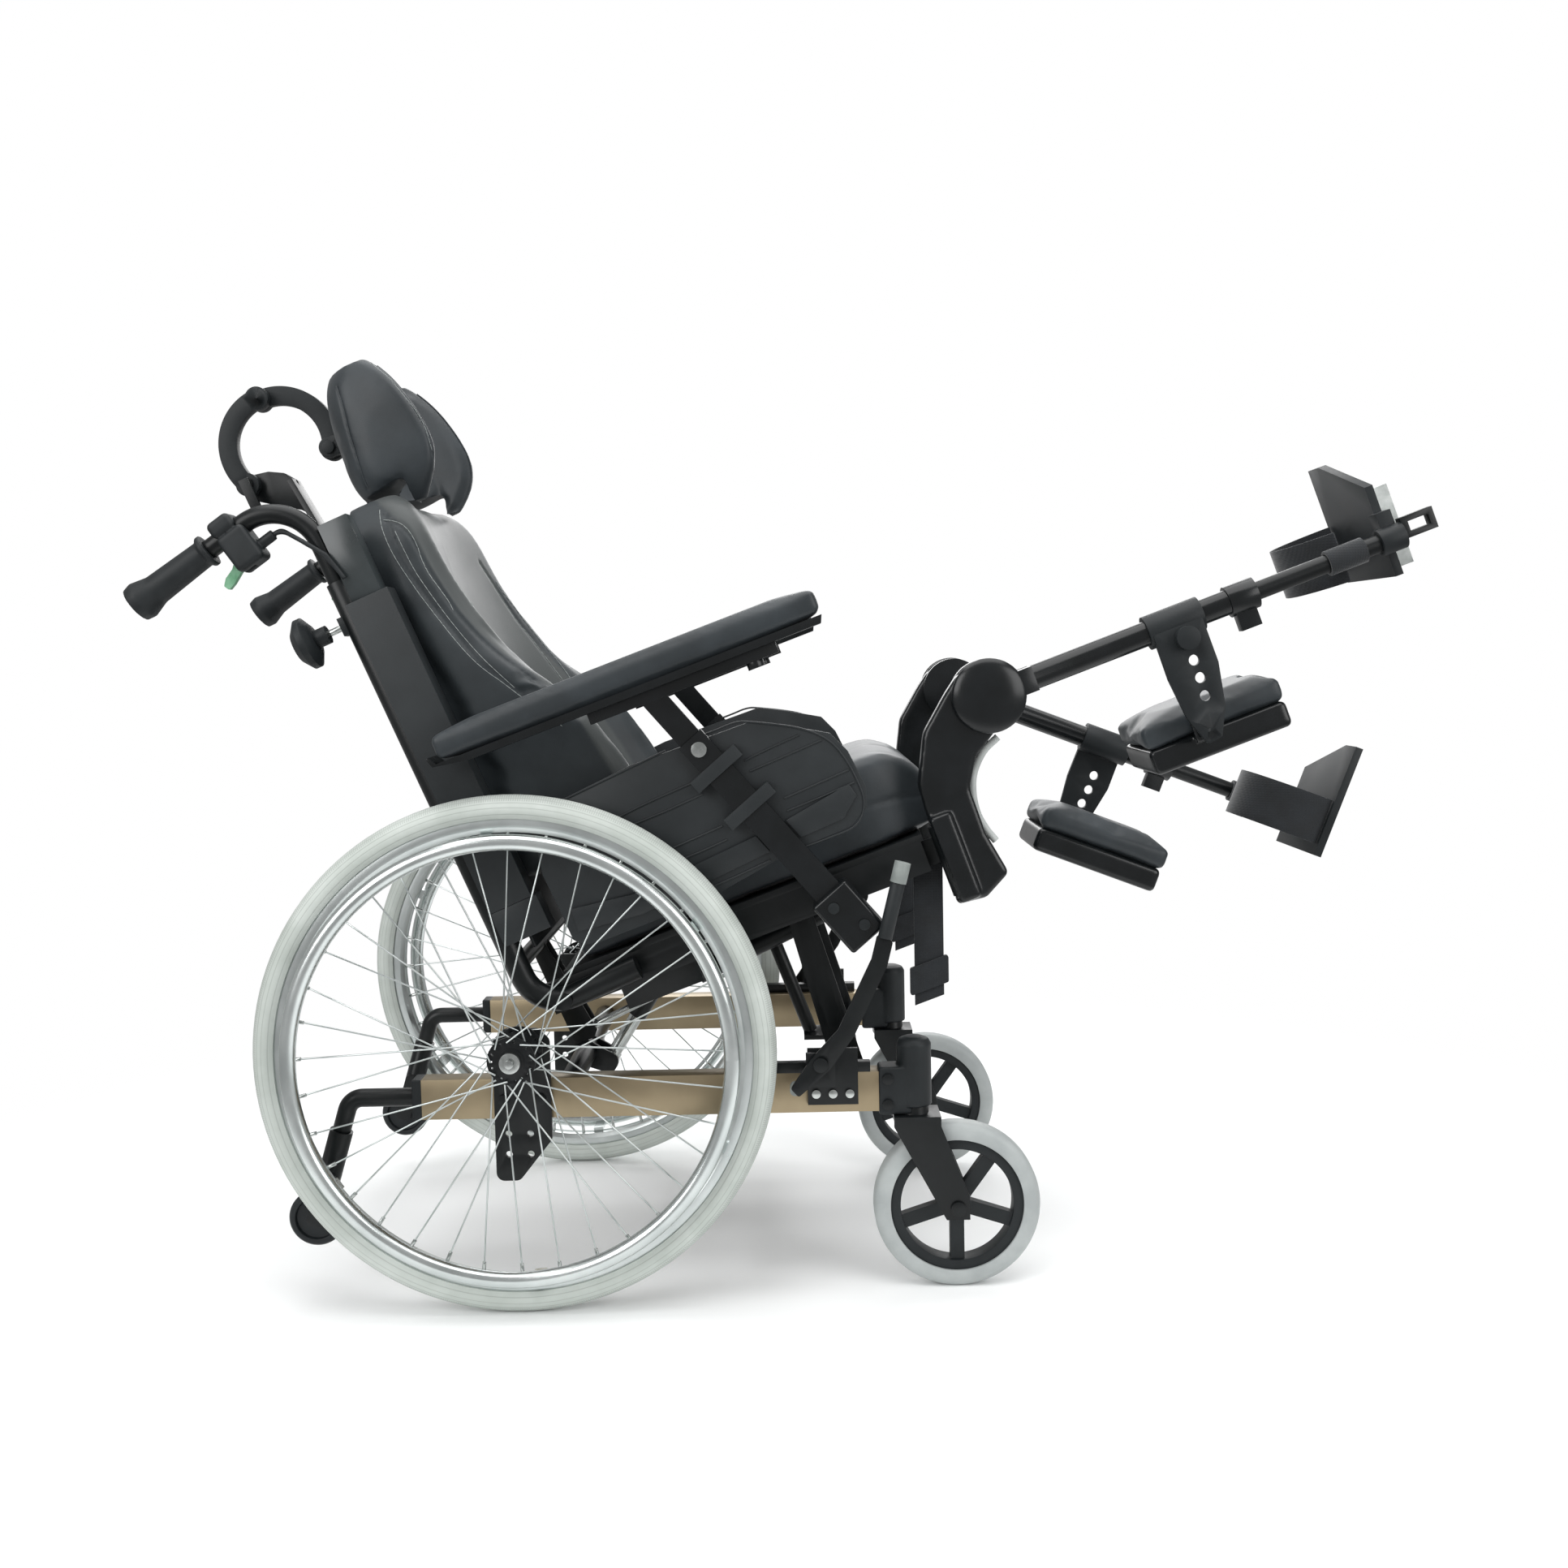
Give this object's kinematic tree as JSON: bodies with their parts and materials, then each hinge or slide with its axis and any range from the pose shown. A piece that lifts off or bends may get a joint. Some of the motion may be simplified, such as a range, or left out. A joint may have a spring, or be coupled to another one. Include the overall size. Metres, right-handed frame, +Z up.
{
  "type": "tilt in space wheelchair",
  "caption": "Manual tilt-in-space wheelchair with spoked rear wheels, casters, a reclining back with headrest, armrests and elevating legrests with calf pads and footplates.",
  "frame": {"origin": "on the floor under the middle of the chair's overall length and width", "axes": "+X forward, +Y to the user's left, +Z up; wheel axles along Y"},
  "size_m": [1.548, 0.665, 1.1448],
  "materials": {
    "gold_frame": "satin champagne",
    "black_plastic": "glossy",
    "black_metal": "satin black",
    "tyre_grey": "matte light grey",
    "silver_metal": "satin",
    "handrim_silver": "satin",
    "caster_grey": "matte grey",
    "cushion_leather": "fine grain",
    "webbing": "woven",
    "actuator_metal": "satin",
    "dark_plastic": "fine texture",
    "rubber_black": "matte",
    "green_plastic": "glossy"
  },
  "bodies": {
    "base": {"base_frame": "gold_frame", "frame_end_fittings": "black_plastic", "axle_plates": "black_metal", "brake_brackets": "black_metal"},
    "seat": {"seat_frame": "black_metal", "seat_cushion": "cushion_leather", "lap_belt": "webbing", "arm_post_right": "black_metal", "arm_post_left": "black_metal", "side_panel_right": "dark_plastic", "side_panel_left": "dark_plastic"},
    "back": {"back_frame": "black_metal", "back_shell": "dark_plastic", "back_cushion": "cushion_leather"},
    "tilt_rod": {"tilt_rod": "actuator_metal"},
    "tilt_cylinder": {"tilt_cylinder": "actuator_metal"},
    "recline_cylinder": {"recline_cylinder": "actuator_metal"},
    "recline_rod": {"recline_rod": "silver_metal"},
    "headrest_bar": {"headrest_bar": "black_metal"},
    "headrest_lower_arm": {"headrest_lower_arm": "dark_plastic"},
    "headrest_upper_arm": {"headrest_upper_arm": "dark_plastic"},
    "headrest_pad": {"headrest_pad": "cushion_leather"},
    "wheel_right": {"tyre_right": "tyre_grey", "spoked_wheel_right": "silver_metal", "handrim_right": "handrim_silver"},
    "caster_fork_right": {"caster_fork_right": "black_metal"},
    "caster_wheel_right": {"caster_wheel_right": "caster_grey"},
    "tipper_arm_right": {"tipper_arm_right": "black_metal"},
    "tipper_wheel_right": {"tipper_wheel_right": "black_plastic"},
    "brake_lever_right": {"brake_lever_right": "black_metal"},
    "arm_pad_right": {"arm_pad_right": "cushion_leather"},
    "push_handle_right": {"push_handle_right": "black_metal", "handle_grip_right": "rubber_black"},
    "release_lever_right": {"release_lever_right": "green_plastic"},
    "leg_hanger_right": {"leg_hanger_right": "black_plastic"},
    "leg_tube_right": {"leg_tube_right": "black_metal"},
    "leg_extension_right": {"leg_extension_right": "black_metal"},
    "footplate_right": {"footplate_right": "black_plastic", "heel_strap_right": "webbing"},
    "calf_bracket_right": {"calf_bracket_right": "dark_plastic"},
    "calf_pad_right": {"calf_pad_right": "cushion_leather"},
    "wheel_left": {"tyre_left": "tyre_grey", "spoked_wheel_left": "silver_metal", "handrim_left": "handrim_silver"},
    "caster_fork_left": {"caster_fork_left": "black_metal"},
    "caster_wheel_left": {"caster_wheel_left": "caster_grey"},
    "tipper_arm_left": {"tipper_arm_left": "black_metal"},
    "tipper_wheel_left": {"tipper_wheel_left": "black_plastic"},
    "brake_lever_left": {"brake_lever_left": "black_metal"},
    "arm_pad_left": {"arm_pad_left": "cushion_leather"},
    "push_handle_left": {"push_handle_left": "black_metal", "handle_grip_left": "rubber_black"},
    "release_lever_left": {"release_lever_left": "green_plastic"},
    "leg_hanger_left": {"leg_hanger_left": "black_plastic"},
    "leg_tube_left": {"leg_tube_left": "black_metal"},
    "leg_extension_left": {"leg_extension_left": "black_metal"},
    "footplate_left": {"footplate_left": "black_plastic", "heel_strap_left": "webbing"},
    "calf_bracket_left": {"calf_bracket_left": "dark_plastic"},
    "calf_pad_left": {"calf_pad_left": "cushion_leather"}
  },
  "joints": [
    {"name": "seat_tilt", "type": "hinge", "parent": "base", "child": "seat", "pos_m": [0.00345, 0, 0.46137], "axis": [0, -1, 0], "range_deg": [-20, 3]},
    {"name": "back_recline", "type": "hinge", "parent": "seat", "child": "back", "pos_m": [-0.2733, 0, 0.35745], "axis": [0, -1, 0], "range_deg": [0, 27]},
    {"name": "tilt_rod_hinge", "type": "hinge", "parent": "base", "child": "tilt_rod", "pos_m": [-0.2486, 0, 0.227], "axis": [0, -1, 0], "range_deg": [-2.1, 13.8]},
    {"name": "tilt_cylinder_slide", "type": "slide", "parent": "tilt_rod", "child": "tilt_cylinder", "axis": [0.534, 0, 0.8455], "range_m": [-0.0062, 0.0409]},
    {"name": "recline_cylinder_hinge", "type": "hinge", "parent": "seat", "child": "recline_cylinder", "pos_m": [0.08436, 0, 0.4525], "axis": [0, -1, 0], "range_deg": [-0.01, 1.06]},
    {"name": "recline_rod_slide", "type": "slide", "parent": "recline_cylinder", "child": "recline_rod", "axis": [-0.9018, 0, -0.4321], "range_m": [-0.0342, 0.0001]},
    {"name": "headrest_height", "type": "slide", "parent": "back", "child": "headrest_bar", "axis": [-0.481, 0, 0.8767], "range_m": [0, 0.06]},
    {"name": "headrest_lower_hinge", "type": "hinge", "parent": "headrest_bar", "child": "headrest_lower_arm", "pos_m": [-0.69625, 0, 0.99811], "axis": [0, 1, 0], "range_deg": [-20, 0]},
    {"name": "headrest_upper_hinge", "type": "hinge", "parent": "headrest_lower_arm", "child": "headrest_upper_arm", "pos_m": [-0.67952, 0, 1.10842], "axis": [0, 1, 0], "range_deg": [-20, 0]},
    {"name": "headrest_pad_hinge", "type": "hinge", "parent": "headrest_upper_arm", "child": "headrest_pad", "pos_m": [-0.58855, 0, 1.04383], "axis": [0, 1, 0], "range_deg": [-12, 0]},
    {"name": "wheel_spin_right", "type": "hinge", "parent": "base", "child": "wheel_right", "pos_m": [-0.3256, -0.285, 0.305], "axis": [0, 1, 0], "continuous": true},
    {"name": "caster_swivel_right", "type": "hinge", "parent": "base", "child": "caster_fork_right", "pos_m": [0.1424, -0.225, 0.25], "axis": [0, 0, 1], "continuous": true},
    {"name": "caster_spin_right", "type": "hinge", "parent": "caster_fork_right", "child": "caster_wheel_right", "pos_m": [0.1914, -0.225, 0.1], "axis": [0, 1, 0], "continuous": true},
    {"name": "tipper_turn_right", "type": "hinge", "parent": "base", "child": "tipper_arm_right", "pos_m": [-0.4506, -0.225, 0.242], "axis": [1, 0, 0], "range_deg": [0, 180]},
    {"name": "tipper_spin_right", "type": "hinge", "parent": "tipper_arm_right", "child": "tipper_wheel_right", "pos_m": [-0.58075, -0.225, 0.0976], "axis": [0, 1, 0], "continuous": true},
    {"name": "brake_right", "type": "hinge", "parent": "base", "child": "brake_lever_right", "pos_m": [0.0294, -0.2953, 0.29], "axis": [0, 1, 0], "range_deg": [0, 40]},
    {"name": "armrest_height_right", "type": "slide", "parent": "seat", "child": "arm_pad_right", "axis": [-0.6521, 0, 0.7581], "range_m": [-0.04, 0.04]},
    {"name": "handle_height_right", "type": "slide", "parent": "back", "child": "push_handle_right", "axis": [-0.3907, 0, 0.9205], "range_m": [-0.02, 0.06]},
    {"name": "release_lever_pull_right", "type": "hinge", "parent": "push_handle_right", "child": "release_lever_right", "pos_m": [-0.63689, -0.2235, 0.88562], "axis": [0, 1, 0], "range_deg": [0, 14], "stiffness_Nm_per_rad": 0.6},
    {"name": "leg_swing_right", "type": "hinge", "parent": "seat", "child": "leg_hanger_right", "pos_m": [0.1937, -0.199, 0.51465], "axis": [0.342, 0, -0.9397], "range_deg": [0, 40]},
    {"name": "leg_elevation_right", "type": "hinge", "parent": "leg_hanger_right", "child": "leg_tube_right", "pos_m": [0.23755, -0.205, 0.70992], "axis": [0, 1, 0], "range_deg": [0, 70]},
    {"name": "leg_length_right", "type": "slide", "parent": "leg_tube_right", "child": "leg_extension_right", "axis": [0.9397, 0, 0.342], "range_m": [-0.04, 0.04]},
    {"name": "footplate_turn_right", "type": "hinge", "parent": "leg_extension_right", "child": "footplate_right", "pos_m": [0.7074, -0.205, 0.88093], "axis": [0.9397, 0, 0.342], "range_deg": [0, 20]},
    {"name": "calf_bracket_turn_right", "type": "hinge", "parent": "leg_tube_right", "child": "calf_bracket_right", "pos_m": [0.45932, -0.205, 0.79064], "axis": [-0.9397, 0, -0.342], "range_deg": [0, 90]},
    {"name": "calf_pad_turn_right", "type": "hinge", "parent": "calf_bracket_right", "child": "calf_pad_right", "pos_m": [0.50011, -0.205, 0.66395], "axis": [0, 1, 0], "range_deg": [-20, 20]},
    {"name": "wheel_spin_left", "type": "hinge", "parent": "base", "child": "wheel_left", "pos_m": [-0.3256, 0.285, 0.305], "axis": [0, 1, 0], "continuous": true},
    {"name": "caster_swivel_left", "type": "hinge", "parent": "base", "child": "caster_fork_left", "pos_m": [0.1424, 0.225, 0.25], "axis": [0, 0, 1], "continuous": true},
    {"name": "caster_spin_left", "type": "hinge", "parent": "caster_fork_left", "child": "caster_wheel_left", "pos_m": [0.1914, 0.225, 0.1], "axis": [0, 1, 0], "continuous": true},
    {"name": "tipper_turn_left", "type": "hinge", "parent": "base", "child": "tipper_arm_left", "pos_m": [-0.4506, 0.225, 0.242], "axis": [-1, 0, 0], "range_deg": [0, 180]},
    {"name": "tipper_spin_left", "type": "hinge", "parent": "tipper_arm_left", "child": "tipper_wheel_left", "pos_m": [-0.58075, 0.225, 0.0976], "axis": [0, 1, 0], "continuous": true},
    {"name": "brake_left", "type": "hinge", "parent": "base", "child": "brake_lever_left", "pos_m": [0.0294, 0.2953, 0.29], "axis": [0, 1, 0], "range_deg": [0, 40]},
    {"name": "armrest_height_left", "type": "slide", "parent": "seat", "child": "arm_pad_left", "axis": [-0.6521, 0, 0.7581], "range_m": [-0.04, 0.04]},
    {"name": "handle_height_left", "type": "slide", "parent": "back", "child": "push_handle_left", "axis": [-0.3907, 0, 0.9205], "range_m": [-0.02, 0.06]},
    {"name": "release_lever_pull_left", "type": "hinge", "parent": "push_handle_left", "child": "release_lever_left", "pos_m": [-0.63689, 0.2235, 0.88562], "axis": [0, 1, 0], "range_deg": [0, 14], "stiffness_Nm_per_rad": 0.6},
    {"name": "leg_swing_left", "type": "hinge", "parent": "seat", "child": "leg_hanger_left", "pos_m": [0.1937, 0.199, 0.51465], "axis": [-0.342, 0, 0.9397], "range_deg": [0, 40]},
    {"name": "leg_elevation_left", "type": "hinge", "parent": "leg_hanger_left", "child": "leg_tube_left", "pos_m": [0.23755, 0.205, 0.70992], "axis": [0, 1, 0], "range_deg": [-41, 28]},
    {"name": "leg_length_left", "type": "slide", "parent": "leg_tube_left", "child": "leg_extension_left", "axis": [0.9323, 0, -0.3616], "range_m": [-0.04, 0.04]},
    {"name": "footplate_turn_left", "type": "hinge", "parent": "leg_extension_left", "child": "footplate_left", "pos_m": [0.70372, 0.205, 0.52911], "axis": [-0.9323, 0, 0.3616], "range_deg": [0, 20]},
    {"name": "calf_bracket_turn_left", "type": "hinge", "parent": "leg_tube_left", "child": "calf_bracket_left", "pos_m": [0.45758, 0.205, 0.62458], "axis": [0.9323, 0, -0.3616], "range_deg": [0, 90]},
    {"name": "calf_pad_turn_left", "type": "hinge", "parent": "calf_bracket_left", "child": "calf_pad_left", "pos_m": [0.40482, 0.205, 0.50239], "axis": [0, 1, 0], "range_deg": [-20, 20]}
  ],
  "couplings": [
    {"joint": "tilt_rod_hinge", "follows": "seat_tilt", "ratio": -0.684},
    {"joint": "tilt_cylinder_slide", "follows": "seat_tilt", "m_per_rad": -0.11694},
    {"joint": "recline_cylinder_hinge", "follows": "back_recline", "ratio": 0.039},
    {"joint": "recline_rod_slide", "follows": "back_recline", "m_per_rad": -0.07225}
  ]
}
